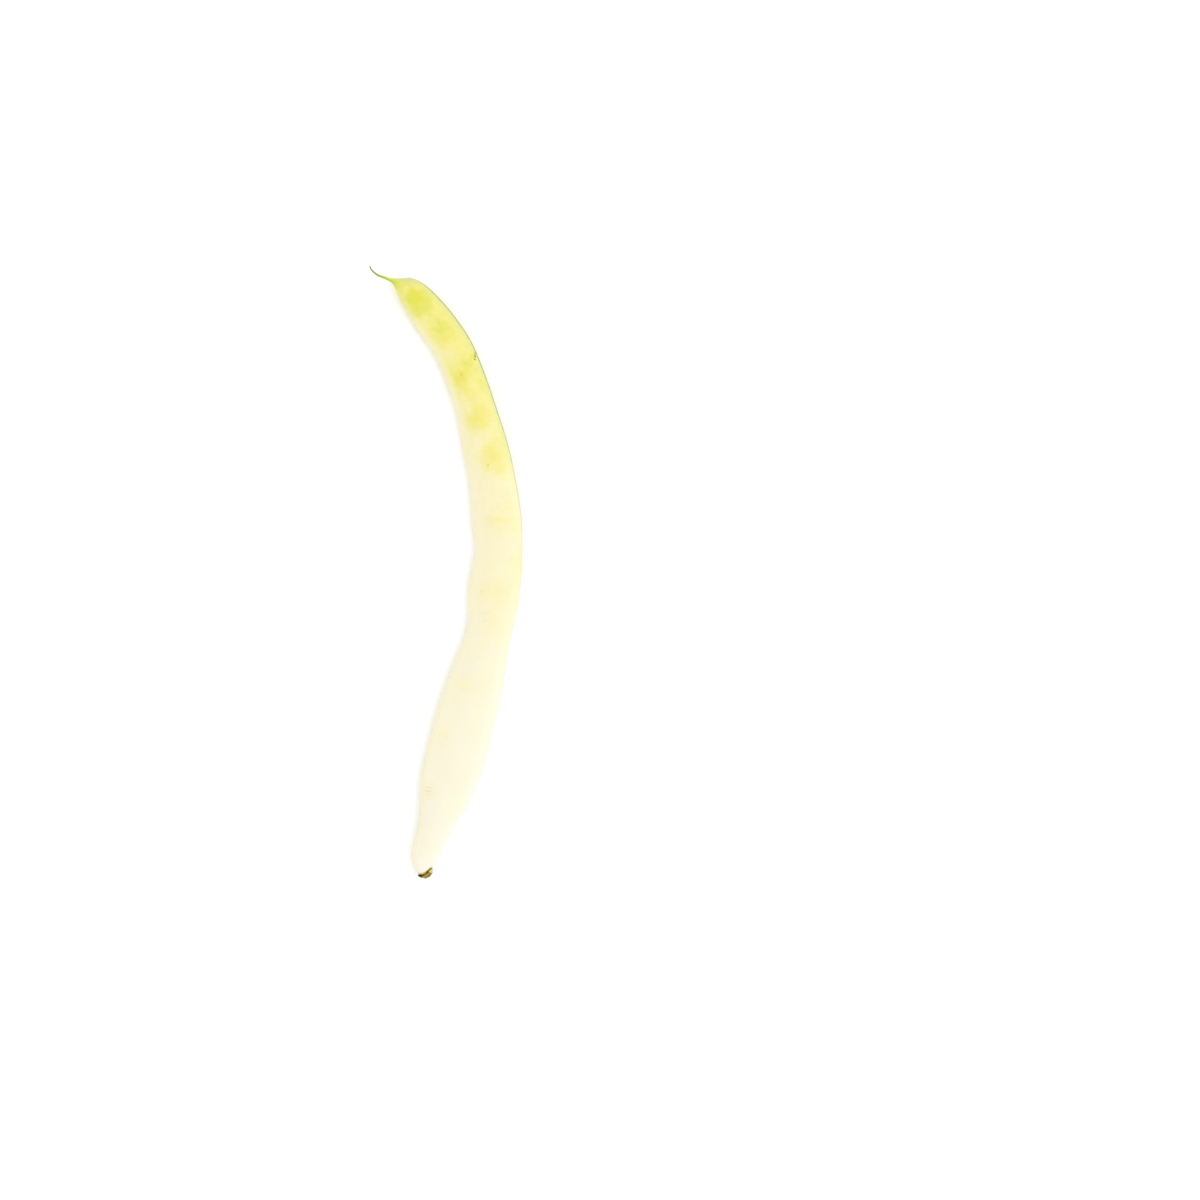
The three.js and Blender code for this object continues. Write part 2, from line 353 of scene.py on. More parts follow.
dome_rings = add(pod_tree, MATH, (size["Dome points"], size["Rings per point"]), "MULTIPLY")
seat_ring = add(pod_tree, MATH, (index, dome_rings), "MAXIMUM")
seat_middle, seat_width = middle_and_width(seat_ring)
seat_y = add(pod_tree, SPLIT_XYZ, (seat_middle,), out="Y")
beyond = add(pod_tree, MATH, (add(pod_tree, MATH, (seat_y,), "ABSOLUTE"), size["Lift from"]), "SUBTRACT")
curl_length = add(pod_tree, MATH, (size["Lift to"], size["Lift from"]), "SUBTRACT")
curl = add(pod_tree, MATH, (beyond, curl_length), "DIVIDE")
curl = add(pod_tree, MATH, (curl, 0.0), "MAXIMUM")
curl = add(pod_tree, MATH, (curl, 2.0), "POWER")
at_beak = add(pod_tree, MATH, (seat_y, 0.0), "GREATER_THAN")
end_lift = add(
    pod_tree, MIX, {"Factor": at_beak, "A": size["Stalk end lift"], "B": size["Beak end lift"]},
)
seat = add(
    pod_tree, MATH, (half_thickness_of(seat_width), size["Seat share"], size["Seat height"]),
    "MULTIPLY_ADD",
)
height = add(pod_tree, MATH, (curl, end_lift, seat), "MULTIPLY_ADD")
raised = add(
    pod_tree, SET_POSITION, {"Geometry": midline, "Offset": add(pod_tree, JOIN_XYZ, {"Z": height})},
)
print("with the lift:", len(pod_tree.nodes))

# %% Sweep a plain tube, and number its rings and the points round each
ring_shape = add(
    pod_tree, "GeometryNodeCurvePrimitiveCircle", {"Resolution": size["Points round"], "Radius": MM},
)
tube = add(
    pod_tree, "GeometryNodeCurveToMesh", {"Curve": midline, "Profile Curve": ring_shape, "Fill Caps": True},
)
turns = add(pod_tree, MATH, (index, size["Points round"]), "DIVIDE")
ring = add(pod_tree, MATH, (turns,), "FLOOR")
even = add(pod_tree, MATH, (turns,), "FRACT")
even = add(pod_tree, MATH, (even, 2 * math.pi), "MULTIPLY")
double = add(pod_tree, MATH, (add(pod_tree, MATH, (even, 2.0), "MULTIPLY"),), "SINE")
crowding = add(pod_tree, MATH, (double, size["Seam crowding"]), "MULTIPLY")
angle = add(pod_tree, MATH, (even, crowding), "SUBTRACT")
side = add(pod_tree, MATH, (angle,), "COSINE")
rise = add(pod_tree, MATH, (add(pod_tree, MATH, (angle,), "SINE"), -1.0), "MULTIPLY")
steep = add(pod_tree, MATH, (rise,), "ABSOLUTE")

on_back, on_belly = seams_at(ring)
towards_back = add(
    pod_tree, VECTOR_MATH, (add(pod_tree, VECTOR_MATH, (on_back, on_belly), "SUBTRACT"),), "NORMALIZE",
)
width = add(pod_tree, VECTOR_MATH, (on_back, on_belly), "DISTANCE", out="Value")
centre = add(pod_tree, SAMPLE, (raised, place, ring), data_type="FLOAT_VECTOR")
travelled = add(pod_tree, "GeometryNodeSplineParameter", out="Length")
along = add(pod_tree, SAMPLE, (midline, travelled, ring))
print("with the tube:", len(pod_tree.nodes))

# %% The two faces, and the string that stands out along each seam
full_share = add(pod_tree, MATH, (width, size["Full string width"]), "DIVIDE")
full_share = add(pod_tree, MATH, (full_share, 1.0), "MINIMUM")
full_share = add(pod_tree, MATH, (full_share, 2.0), "POWER")
string = add(pod_tree, MATH, (full_share, size["String height"]), "MULTIPLY")
half_width = add(pod_tree, MATH, (add(pod_tree, MATH, (width, 0.5), "MULTIPLY"), string), "SUBTRACT")
off_seam = add(pod_tree, MATH, (steep, size["String half angle"]), "DIVIDE")
off_seam = add(pod_tree, MATH, (off_seam, 2.0), "POWER")
string_share = add(pod_tree, MATH, (FALL_OFF, off_seam), "POWER")
string_out = add(pod_tree, MATH, (string, string_share), "MULTIPLY")
string_out = add(pod_tree, MATH, (string_out, add(pod_tree, MATH, (side,), "SIGN")), "MULTIPLY")
across = add(pod_tree, MATH, (side, half_width, string_out), "MULTIPLY_ADD")
face = add(pod_tree, MATH, (steep, size["Face roundness"]), "POWER")
face = add(pod_tree, MATH, (face, half_thickness_of(width)), "MULTIPLY")
print("with the faces and strings:", len(pod_tree.nodes))

# %% A swelling over each seed
BEFORE_FIRST = -0.5  # seeds are numbered from 0
from_first = add(pod_tree, MATH, (along, size["First seed"]), "SUBTRACT")
seed_place = add(pod_tree, MATH, (from_first, size["Seed pitch"]), "DIVIDE")
seed_number = add(pod_tree, MATH, (seed_place,), "ROUND")
from_zero = add(pod_tree, MATH, (seed_number, BEFORE_FIRST), "GREATER_THAN")
below_count = add(pod_tree, MATH, (seed_number, size["Seed count"]), "LESS_THAN")
is_seed = add(pod_tree, MATH, (from_zero, below_count), "MULTIPLY")
varied = add(pod_tree, MATH, (seed_number, size["Seed varies"]), "MULTIPLY")
varied = add(pod_tree, MATH, (varied,), "SINE")
seed_size = add(pod_tree, MATH, (varied, size["Seed spread"], size["Seed swell"]), "MULTIPLY_ADD")
wave = add(pod_tree, MATH, (seed_place, math.pi), "MULTIPLY")
wave = add(pod_tree, MATH, (wave,), "COSINE")
wave = add(pod_tree, MATH, (wave, 2.0), "POWER")
off_middle = add(pod_tree, MATH, (side, size["Seed half width"]), "DIVIDE")
off_middle = add(pod_tree, MATH, (off_middle, 2.0), "POWER")
seed_share = add(pod_tree, MATH, (FALL_OFF, off_middle), "POWER")
swell = add(pod_tree, MATH, (seed_size, wave), "MULTIPLY")
swell = add(pod_tree, MATH, (swell, seed_share), "MULTIPLY")
swell = add(pod_tree, MATH, (swell, is_seed), "MULTIPLY")
print("with the seeds:", len(pod_tree.nodes))

# %% Low, soft unevenness of the fleshy wall
NOISE = "ShaderNodeTexNoise"
FACES_APART = 0.1  # metres in the noise from a seam to a face, so that the two faces don't match
FULL_FROM = 0.5  # the share of its rise at which a face has all its unevenness
NOISE_MIDDLE = 0.5  # the average of any noise

layer = add(pod_tree, MATH, (rise, FACES_APART), "MULTIPLY")
sheet_place = add(pod_tree, JOIN_XYZ, (along, across, layer))
per_metre = add(pod_tree, MATH, (1.0, size["Relief size"]), "DIVIDE")
lumps = add(pod_tree, NOISE, {"Vector": sheet_place, "Scale": per_metre, "Detail": 3.0})
lumps = add(pod_tree, MATH, (lumps, NOISE_MIDDLE), "SUBTRACT")
lumps = add(pod_tree, MATH, (lumps, size["Relief height"]), "MULTIPLY")
on_face = add(pod_tree, MATH, (steep, 1 / FULL_FROM), "MULTIPLY")
on_face = add(pod_tree, MATH, (on_face, 1.0), "MINIMUM")
uneven = add(pod_tree, MATH, (swell, lumps), "ADD")
up = add(pod_tree, MATH, (uneven, on_face, face), "MULTIPLY_ADD")
up = add(pod_tree, MATH, (up, add(pod_tree, MATH, (rise,), "SIGN")), "MULTIPLY")
print("with the unevenness:", len(pod_tree.nodes))

# %% Turn each section a little towards the beak, set it in place and keep it off the table
MAP_RANGE = "ShaderNodeMapRange"  # takes a value, the ends of its range, and what those ends become
SOFT = {"interpolation_type": "SMOOTHSTEP"}  # a range that starts and ends gently
TABLE_FACE = (-1.0, -1.0, 0.0)  # metres; no point goes lower than the last of these

centre_y = add(pod_tree, SPLIT_XYZ, (centre,), out="Y")
stalk_y = add(pod_tree, MATH, (size["Lift to"], -1.0), "MULTIPLY")
roll = add(pod_tree, MAP_RANGE, (centre_y, stalk_y, size["Lift to"], 0.0, size["Roll at beak"]), **SOFT)
section = add(pod_tree, JOIN_XYZ, {"X": across, "Z": up})
rolled = add(
    pod_tree, "ShaderNodeVectorRotate",
    {"Vector": section, "Angle": add(pod_tree, MATH, (roll, -1.0), "MULTIPLY")},
    rotation_type="Y_AXIS",
)
level = add(pod_tree, SPLIT_XYZ, (rolled,), out="X")
upright = add(pod_tree, SPLIT_XYZ, (rolled,), out="Z")
in_plan = add(pod_tree, VECTOR_MATH, {0: towards_back, "Scale": level}, "SCALE")
lifted = add(pod_tree, JOIN_XYZ, {"Z": upright})
spot = add(pod_tree, VECTOR_MATH, (add(pod_tree, VECTOR_MATH, (centre, in_plan), "ADD"), lifted), "ADD")
spot = add(pod_tree, VECTOR_MATH, (spot, TABLE_FACE), "MAXIMUM")
pod_shape = add(pod_tree, SET_POSITION, {"Geometry": tube, "Position": spot})
print("with the roll:", len(pod_tree.nodes))

# %% Round the fold where the faces turn down into the stalk end
near_end = add(pod_tree, MAP_RANGE, (along, size["Soft end"], 0.0), **SOFT)
rounded = add(
    pod_tree, "GeometryNodeBlurAttribute",
    {"Value": place, "Iterations": size["End rounding"], "Weight": near_end}, data_type="FLOAT_VECTOR",
)
pod_shape = add(pod_tree, SET_POSITION, {"Geometry": pod_shape, "Position": rounded})
print("with the soft fold:", len(pod_tree.nodes))

# %% Note on every point where it lies on the pod, for the finish
for name, value in {"along": along, "across": across, "side": side, "rise": rise}.items():
    pod_shape = add(
        pod_tree, "GeometryNodeStoreNamedAttribute", {"Geometry": pod_shape, "Name": name, "Value": value},
    )
end_tree(pod_tree, pod_shape, size["Finish"])
print("the pod's tree has", len(pod_tree.nodes), "nodes")

# %% Grow the pod
bean_skin = bpy.data.materials.new("Waxy bean skin")
bean_skin.use_nodes = True
pod_mesh = run_tree(pod_tree, bpy.data.objects.new("seams", seams), POD_SIZES, bean_skin)
pod_mesh.name = "bean_pod"
bean_pod = bpy.data.objects.new("bean_pod", pod_mesh)
scene.collection.objects.link(bean_pod)

shell = bmesh.new()
shell.from_mesh(pod_mesh)
print("pod:", len(shell.faces), "faces,", round(shell.calc_volume(signed=True) * 1e6, 2), "cubic cm")
shell.free()

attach(bean_pod, "root")
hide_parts("pod")

# %% [markdown]
# ## The pod's skin
# The skin of a wax bean is a thin, clear cuticle over soft leaf flesh. Light goes into the flesh and
# comes out a little further on, so the pod looks milky, and the wax gives it a wide, dull shine. The
# flesh has lost its green except towards the beak, which ripens last. A painted picture of the skin
# would stretch where the pod bends, so the colour is worked out from where a point lies on the pod:
# how far along it, how far towards the back seam, and how far up. Painted sheen and shade along the
# seams, the strings, the beak, a golden tint beside the cap deepened as painted shade under its rim,
# and the small marks are then laid over the flesh one by one.

# %% Where a point of the skin lies
SIDE_REACH = 8.0 * MM  # half the pod's usual width, for places that are given as a share of it
WOBBLE_SIZE = 3.0 * MM  # the outlines of the patches wobble this finely
WOBBLE_REACH = 3.5 * MM
TOP_FROM = 0.3  # the share of its rise from which a face has all its patches and marks

skin = bean_skin.node_tree
along, across, side, rise = (
    add(skin, "ShaderNodeAttribute", out="Fac", attribute_name=name)
    for name in ("along", "across", "side", "rise")
)
solid_place = add(skin, "ShaderNodeTexCoord", out="Object")
reach = add(skin, MATH, (side, SIDE_REACH), "MULTIPLY")
sheet = add(skin, JOIN_XYZ, (along, reach, 0.0))
wobble = add(skin, NOISE, {"Vector": solid_place, "Scale": 1 / WOBBLE_SIZE}, out="Color")
wobble = add(skin, VECTOR_MATH, (wobble, (NOISE_MIDDLE,) * 3), "SUBTRACT")
wobble = add(skin, VECTOR_MATH, {0: wobble, "Scale": WOBBLE_REACH}, "SCALE")
ragged_sheet = add(skin, VECTOR_MATH, (sheet, wobble), "ADD")
on_top = add(skin, MAP_RANGE, (rise, 0.0, TOP_FROM))
print("half a usual width is", round(SIDE_REACH / MM), "mm")

# %% Patches that are still green, most of them over a seed, and riper ones between them
PATCHES = [  # mm along the pod, share of the way to the back seam, radius in mm, how much greener
    (201.0, 0.70, 5.0, -0.6),
    (193.0, 0.05, 6.2, 1.1),
    (192.5, -0.70, 5.5, 0.75),
    (192.0, -0.27, 7.0, 0.65),
    (192.0, 0.50, 5.0, 0.5),
    (188.0, 0.75, 4.0, -0.8),
    (188.0, 0.10, 3.5, 0.3),
    (187.5, -0.15, 4.0, 0.5),
    (188.0, -0.60, 4.0, 0.4),
    (184.0, -0.35, 5.0, -1.1),
    (184.0, 0.30, 4.0, -0.5),
    (180.5, 0.16, 6.5, 1.3),
    (176.0, -0.15, 3.5, 0.4),
    (172.0, -0.35, 6.0, -0.7),
    (168.5, 0.72, 3.0, 0.5),
    (167.0, 0.40, 4.8, 0.8),
    (163.6, 0.0, 3.2, 0.75),
    (163.5, -0.35, 5.0, 0.8),
    (162.4, 0.10, 8.5, 0.8),
    (160.0, 0.35, 3.5, -0.7),
    (160.0, 0.80, 4.5, 0.8),
    (156.0, 0.50, 4.0, -0.4),
    (156.0, -0.30, 4.0, -0.3),
    (150.7, 0.16, 6.8, 1.2),
    (148.0, -0.10, 4.5, 0.4),
    (143.5, 0.10, 5.0, -0.7),
    (140.0, -0.30, 4.5, -0.4),
    (137.0, 0.25, 7.0, 1.0),
    (132.0, 0.55, 4.0, 0.5),
    (128.0, -0.20, 6.0, -0.5),
    (115.0, 0.35, 9.0, 0.3),
    (94.5, -0.45, 5.0, 0.4),
    (93.4, 0.30, 8.0, 0.5),
    (84.0, 0.20, 6.0, 0.45),
    (84.0, -0.50, 5.0, -0.4),
    (62.2, -0.47, 6.0, 0.35),
    (45.5, -0.75, 5.0, 0.6),
    (27.8, -0.73, 4.5, 0.7),
]
greener = 0.0
for along_mm, side_share, radius_mm, strength in PATCHES:
    spot = (along_mm * MM, side_share * SIDE_REACH, 0.0)
    away = add(skin, VECTOR_MATH, (ragged_sheet, spot), "DISTANCE", out="Value")
    patch = add(skin, MAP_RANGE, (away, 0.0, radius_mm * MM, strength, 0.0), **SOFT)
    greener = add(skin, MATH, (greener, patch), "ADD")
greener = add(skin, MATH, (greener, on_top), "MULTIPLY")
print(len(PATCHES), "patches")

# %% Patchy, mottled and brushed: the unevenness of the flesh under the skin
BLOTCH_SIZES = (13.0, 4.5, 1.6)  # mm
BRUSH_SIZE = 0.8  # mm along the pod; the marks run across it
BRUSH_SHAPE = (1.0, 0.3, 0.001)

patchy, cloudy, mottled = (
    add(skin, NOISE, {"Vector": solid_place, "Scale": 1 / (blotch_size * MM)})
    for blotch_size in BLOTCH_SIZES
)
brush_place = add(skin, JOIN_XYZ, (along, across, rise))
brush_place = add(skin, VECTOR_MATH, (brush_place, BRUSH_SHAPE), "MULTIPLY")
brushed = add(skin, NOISE, {"Vector": brush_place, "Scale": 1 / (BRUSH_SIZE * MM)})
print("unevenness of", *BLOTCH_SIZES, "and", BRUSH_SIZE, "mm")

# %% The colour of the flesh along the pod
RAMP = "ShaderNodeValToRGB"
POD_LENGTH = 212.0  # mm along the middle of the pod
FLESH_COLOURS = {  # mm from the stalk end: cream, then yellow, then yellow-green
    0: "#ded8cb", 5: "#ddd8c6", 25: "#dcd7c0", 60: "#dcd7c0", 84: "#ddd6b5", 106: "#ddd6b3",
    120: "#ddd5b3", 134: "#dcd4a2", 150: "#dad28f", 166: "#d9d181", 182: "#d9d07b", 198: "#d3ce6b",
    212: "#cecb5f", 226: "#cbc94e", 240: "#c9c83e",
}
RIPENESS_REACH = 240.0  # mm; past the pod's length, because a patch can be greener than any place
PATCH_SHIFT = 26.0 * MM  # a green patch looks like flesh this much nearer the beak
SIDE_SHIFT = 9.0 * MM  # the back seam stays green longer than the belly seam
NOISE_SHIFTS = ((patchy, 40 * MM), (cloudy, 50 * MM), (mottled, 45 * MM), (brushed, 26 * MM))


def set_stops(colours, stops, length):
    """Gives a colour ramp its stops, from places along a length to hex colours."""
    ramp = colours.node.color_ramp
    while len(ramp.elements) < len(stops):
        ramp.elements.new(1.0)
    for element, (spot, hex_colour) in zip(ramp.elements, sorted(stops.items())):
        element.position = spot / length
        element.color = linear(hex_colour)


ripeness = add(skin, MATH, (greener, PATCH_SHIFT, along), "MULTIPLY_ADD")
ripeness = add(skin, MATH, (side, SIDE_SHIFT, ripeness), "MULTIPLY_ADD")
for unevenness, shift in NOISE_SHIFTS:
    centred = add(skin, MATH, (unevenness, NOISE_MIDDLE), "SUBTRACT")
    ripeness = add(skin, MATH, (centred, shift, ripeness), "MULTIPLY_ADD")
ripeness = add(skin, MATH, (ripeness, RIPENESS_REACH * MM), "DIVIDE")
flesh = add(skin, RAMP, (ripeness,))
flesh.node.color_ramp.interpolation = "B_SPLINE"
set_stops(flesh, FLESH_COLOURS, RIPENESS_REACH)
print(len(FLESH_COLOURS), "colours along the flesh")

# %% The yellow-green tinge of the patches, which shows most where the flesh is cream
CREAM_TINGE = 0.3
GREEN_TINGE = 0.05
TINGE_SPAN = (150 * MM, 200 * MM)  # along the pod
TINGE_COLOUR = "#d6cb5c"
IN_COLOUR = {"out": 2, "data_type": "RGBA"}  # makes a Mix node mix colours
UNDER, OVER = 6, 7  # the numbers of the sockets that it takes them from

tinge_share = add(skin, MAP_RANGE, (along, *TINGE_SPAN, CREAM_TINGE, GREEN_TINGE))
tinged = add(skin, MATH, (greener, tinge_share), "MULTIPLY")
flesh = add(skin, MIX, {"Factor": tinged, UNDER: flesh, OVER: linear(TINGE_COLOUR)}, **IN_COLOUR)
print("tinge", CREAM_TINGE, "to", GREEN_TINGE)

# %% Towards the seams: painted sheen at the back, greying to painted shade by the beak, and a pale belly edge lifted by painted light
# The back seam faces the window. Along the stalk half it is paler, as a painted sheen, and towards the beak
# it is greyer, as painted shade.
BACK_SHEEN_AND_SHADE_COLOURS = {  # mm from the stalk end
    0: "#dfdace", 60: "#dedac9", 84: "#ddd8ba", 103: "#dad3a0", 118: "#ddd7b0", 140: "#d0d090",
    160: "#cacc88", 212: "#c6ca84",
}
# The belly edge is paler flesh, lightened further as painted light against the shade of the side turned
# from the window.
BELLY_PALE_AND_PAINTED_LIGHT_COLOUR = "#e0dbbf"
BELLY_SHARES = (0.72, 0.2)  # before and after this span
BELLY_SPAN = (182 * MM, 198 * MM)
BELLY_EDGE = (-0.45, -1.0)  # shares of the way to a seam, as is the next pair
BACK_EDGE = (0.55, 1.0)
BACK_SHEEN_AND_SHADE_SHARE = 0.6

belly_share = add(skin, MAP_RANGE, (along, *BELLY_SPAN, *BELLY_SHARES))
belly_pale_and_painted_light = add(skin, MAP_RANGE, (side, *BELLY_EDGE), **SOFT)
belly_pale_and_painted_light = add(skin, MATH, (belly_pale_and_painted_light, belly_share), "MULTIPLY")
length_share = add(skin, MATH, (along, POD_LENGTH * MM), "DIVIDE")
back_sheen_and_shade = add(skin, RAMP, (length_share,))
set_stops(back_sheen_and_shade, BACK_SHEEN_AND_SHADE_COLOURS, POD_LENGTH)
towards_back = add(skin, MAP_RANGE, (side, *BACK_EDGE, 0.0, BACK_SHEEN_AND_SHADE_SHARE), **SOFT)
layers = [(belly_pale_and_painted_light, linear(BELLY_PALE_AND_PAINTED_LIGHT_COLOUR)), (towards_back, back_sheen_and_shade)]
print(len(BACK_SHEEN_AND_SHADE_COLOURS), "colours along the back seam")

# %% The strings: olive threads along both seams, and a bright stripe beside the back one
FRAYING = 0.12  # how far a string strays, as a share of a face's rise
LEAST_STRENGTH = 0.05


def far_from(tree, value, middle):
    """How far a value is from a middle, on either side of it."""
    return add(tree, MATH, (add(tree, MATH, (value, middle), "SUBTRACT"),), "ABSOLUTE")


steep = add(skin, MATH, (rise,), "ABSOLUTE")
frayed = add(skin, MATH, (mottled, NOISE_MIDDLE), "SUBTRACT")
off_string = add(skin, MATH, (frayed, FRAYING, rise), "MULTIPLY_ADD")
off_string = add(skin, MATH, (off_string,), "ABSOLUTE")
at_back = add(skin, MATH, (side, 0.0), "GREATER_THAN")
at_belly = add(skin, MATH, (1.0, at_back), "SUBTRACT")
EDGE_LINES = {  # seam, rise, middle and half width in that rise, strength, colour, faint and full at mm
    "stripe": (at_back, steep, 0.30, 0.22, 0.45, "#c9cc5e", 115, 175),
    "back string": (at_back, off_string, 0.0, 0.22, 0.92, "#5f6a1e", 80, 190),
    "belly string": (at_belly, off_string, 0.0, 0.14, 0.55, "#9a9a70", 50, 4),
}
for seam, height, middle_share, half_width, strength, hex_colour, faded, full in EDGE_LINES.values():
    off_line = far_from(skin, height, middle_share)
    on_line = add(skin, MAP_RANGE, (off_line, 0.0, half_width, strength, 0.0), **SOFT)
    strong = add(skin, MAP_RANGE, (along, faded * MM, full * MM, LEAST_STRENGTH), **SOFT)
    strong = add(skin, MATH, (seam, strong), "MULTIPLY")
    on_line = add(skin, MATH, (on_line, strong), "MULTIPLY")
    layers.append((on_line, linear(hex_colour)))
print("lines along the seams:", ", ".join(EDGE_LINES))

# %% The beak, green and drying to grey at its tip
BEAK_FROM = 197.5  # mm from the stalk end
BEAK_COLOURS = {
    0: "#cfce5a", 3: "#c9cf44", 5.5: "#bccb46", 8.5: "#9fb450", 11.5: "#84954a", 14.5: "#6c6f5a",
}
BEAK_LENGTH = POD_LENGTH - BEAK_FROM
LOWER_START = 1.5 * MM  # the beak's green reaches this much further down the belly seam
SHOULDER_LAG = 1.6  # and stops this much shorter, for each mm from the midline, on the back shoulder
BEAK_BLEND = (0.05, 0.4)  # shares of its length over which the flesh gives way to it
UNDERSIDE_COLOUR = "#6f7a30"
UNDERSIDE_SHARE = 0.6

beak_place = add(skin, MATH, (side, -LOWER_START, along), "MULTIPLY_ADD")
on_shoulder = add(skin, MATH, (across, 0.0), "MAXIMUM")
beak_place = add(skin, MATH, (on_shoulder, -SHOULDER_LAG, beak_place), "MULTIPLY_ADD")
on_beak = add(skin, MAP_RANGE, (beak_place, BEAK_FROM * MM, POD_LENGTH * MM))
beak = add(skin, RAMP, (on_beak,))
set_stops(beak, BEAK_COLOURS, BEAK_LENGTH)
beak_share = add(skin, MAP_RANGE, (on_beak, *BEAK_BLEND), **SOFT)
beak_underneath = add(skin, MAP_RANGE, (side, 0.0, -1.0, 0.0, UNDERSIDE_SHARE))
beak_underneath = add(skin, MATH, (beak_underneath, on_beak), "MULTIPLY")
beak = add(
    skin, MIX, {"Factor": beak_underneath, UNDER: beak, OVER: linear(UNDERSIDE_COLOUR)}, **IN_COLOUR,
)
layers.append((beak_share, beak))
print("the beak is", BEAK_LENGTH, "mm long")

# %% The back shoulder, greyed with painted shade where the beak begins
SHOULDER_FROM = 196.0  # mm from the stalk end
SHOULDER_FULL = 201.0
SHOULDER_WIDTH = 1.5  # mm from the midline to where the shoulder has its full colour
SHOULDER_SHADE_SHARE = 0.8
SHOULDER_SHADE_COLOUR = "#bfc187"

# Painted shade: the edge of the back shoulder is made greyer here.
shoulder_shade = add(
    skin, MAP_RANGE, (along, SHOULDER_FROM * MM, SHOULDER_FULL * MM, 0.0, SHOULDER_SHADE_SHARE), **SOFT,
)
on_back_shoulder = add(skin, MAP_RANGE, (across, 0.0, SHOULDER_WIDTH * MM), **SOFT)
shoulder_shade = add(skin, MATH, (shoulder_shade, on_back_shoulder), "MULTIPLY")
layers.append((shoulder_shade, linear(SHOULDER_SHADE_COLOUR)))
print("the shoulder turns greyer within", SHOULDER_FULL - SHOULDER_FROM, "mm")

# %% A golden tint of the skin beside the stalk cap, deepened as painted shade under the cap's rim
STAIN_FROM = 0.2  # mm out from the pod's stalk end, on a face
STAIN_FULL = 0.75
SEAM_REACH = 0.7  # mm by which the tint and its painted shade reach further up the pod along its seams
STAIN_AND_SHADE_SHARE = 0.85
STAIN_AND_SHADE_COLOUR = "#c9a648"

end_place = tuple(end_middle.to_3d() * MM)
off_end = add(skin, VECTOR_MATH, (solid_place, end_place), "SUBTRACT")
outward = tuple(end_outward.to_3d())
past_end = add(skin, VECTOR_MATH, (off_end, outward), "DOT_PRODUCT", out="Value")
to_seam = add(skin, MATH, (side, side), "MULTIPLY")
past_end = add(skin, MATH, (to_seam, SEAM_REACH * MM, past_end), "MULTIPLY_ADD")
# Painted shade: the golden tint is deepened where the cap's rim overhangs the skin.
stained_and_shaded = add(skin, MAP_RANGE, (past_end, STAIN_FROM * MM, STAIN_FULL * MM, 0.0, STAIN_AND_SHADE_SHARE), **SOFT)
layers.append((stained_and_shaded, linear(STAIN_AND_SHADE_COLOUR)))
print("the stain is full", STAIN_FULL, "mm out from the end")

# %% Where the small marks lie: bright spots, pricks with a dark centre, and a few scratches
BRIGHT_SPOTS = [  # mm along, share towards the back seam, half length and half width in mm, strength
    (199.8, -0.55, 1.8, 1.0, 0.5),
    (195.8, 0.15, 2.2, 1.8, 0.6),
    (192.6, 0.20, 2.6, 1.8, 0.35),
    (180.0, 0.46, 1.4, 1.0, 0.5),
    (169.0, 0.86, 1.7, 1.2, 0.85),
    (165.0, -0.08, 1.6, 1.0, 0.4),
    (161.5, 0.75, 1.1, 0.5, 0.7),
]
MARKS = [
    (170.0, 0.97, 0.7, 0.35, 0.6),
    (169.1, 0.93, 0.7, 0.40, 0.85),
    (168.2, 0.86, 0.5, 0.45, 0.7),
    (164.3, -0.10, 0.7, 0.4, 0.3),
    (134.4, 0.0, 0.4, 0.35, 0.4),
    (94.0, -0.48, 0.5, 1.2, 0.08),
    (87.0, -0.32, 0.5, 2.8, 0.07),
    (84.6, -0.22, 0.4, 2.4, 0.07),
    (29.0, -0.73, 0.22, 1.5, 0.13),
    (27.8, -0.74, 0.22, 1.7, 0.19),
    (26.6, -0.72, 0.22, 1.3, 0.12),
]
FINE_SHARE = 0.17  # how much marks wobble, as a share of what patches do
MARK_CORE = 0.3  # the share of a mark that has its full strength
BRIGHT_COLOUR = "#cfca34"
MARK_COLOUR = "#766c00"
print(len(BRIGHT_SPOTS), "bright spots,", len(MARKS), "pricks and scratches")

# %% Draw the small marks
fine_wobble = add(skin, VECTOR_MATH, {0: wobble, "Scale": FINE_SHARE}, "SCALE")
fine_sheet = add(skin, VECTOR_MATH, (sheet, fine_wobble), "ADD")


def share_of_marks(marks):
    """How much of a mark there is at a point of the skin, for a list of small oval marks."""
    marked = 0.0
    for along_mm, side_share, half_length, half_width, strength in marks:
        spot = (along_mm * MM, side_share * SIDE_REACH, 0.0)
        away = add(skin, VECTOR_MATH, (fine_sheet, spot), "SUBTRACT")
        shares = (1 / (half_length * MM), 1 / (half_width * MM), 1.0)
        away = add(skin, VECTOR_MATH, (away, shares), "MULTIPLY")
        away = add(skin, VECTOR_MATH, (away,), "LENGTH", out="Value")
        mark = add(skin, MAP_RANGE, (away, MARK_CORE, 1.0, strength, 0.0), **SOFT)
        marked = add(skin, MATH, (marked, mark), "MAXIMUM")
    return add(skin, MATH, (marked, on_top), "MULTIPLY")


for marks, hex_colour in ((BRIGHT_SPOTS, BRIGHT_COLOUR), (MARKS, MARK_COLOUR)):
    marked = share_of_marks(marks)
    layers.append((marked, linear(hex_colour)))
print("marks are drawn in", BRIGHT_COLOUR, "and", MARK_COLOUR)

# %% Lay these colours over the flesh, one by one
colour = flesh
for share, over in layers:
    colour = add(skin, MIX, {"Factor": share, UNDER: colour, OVER: over}, **IN_COLOUR)
print(len(layers), "layers over the flesh")

# %% Relief, wax and milky flesh
GRAIN_SIZE = 0.35 * MM
RELIEF_HEIGHT = 0.05 * MM
MOST_OF_NOISE = (0.3, 0.7)  # nearly all of a noise lies between these
WAX_ROUGHNESS = (0.4, 0.5)

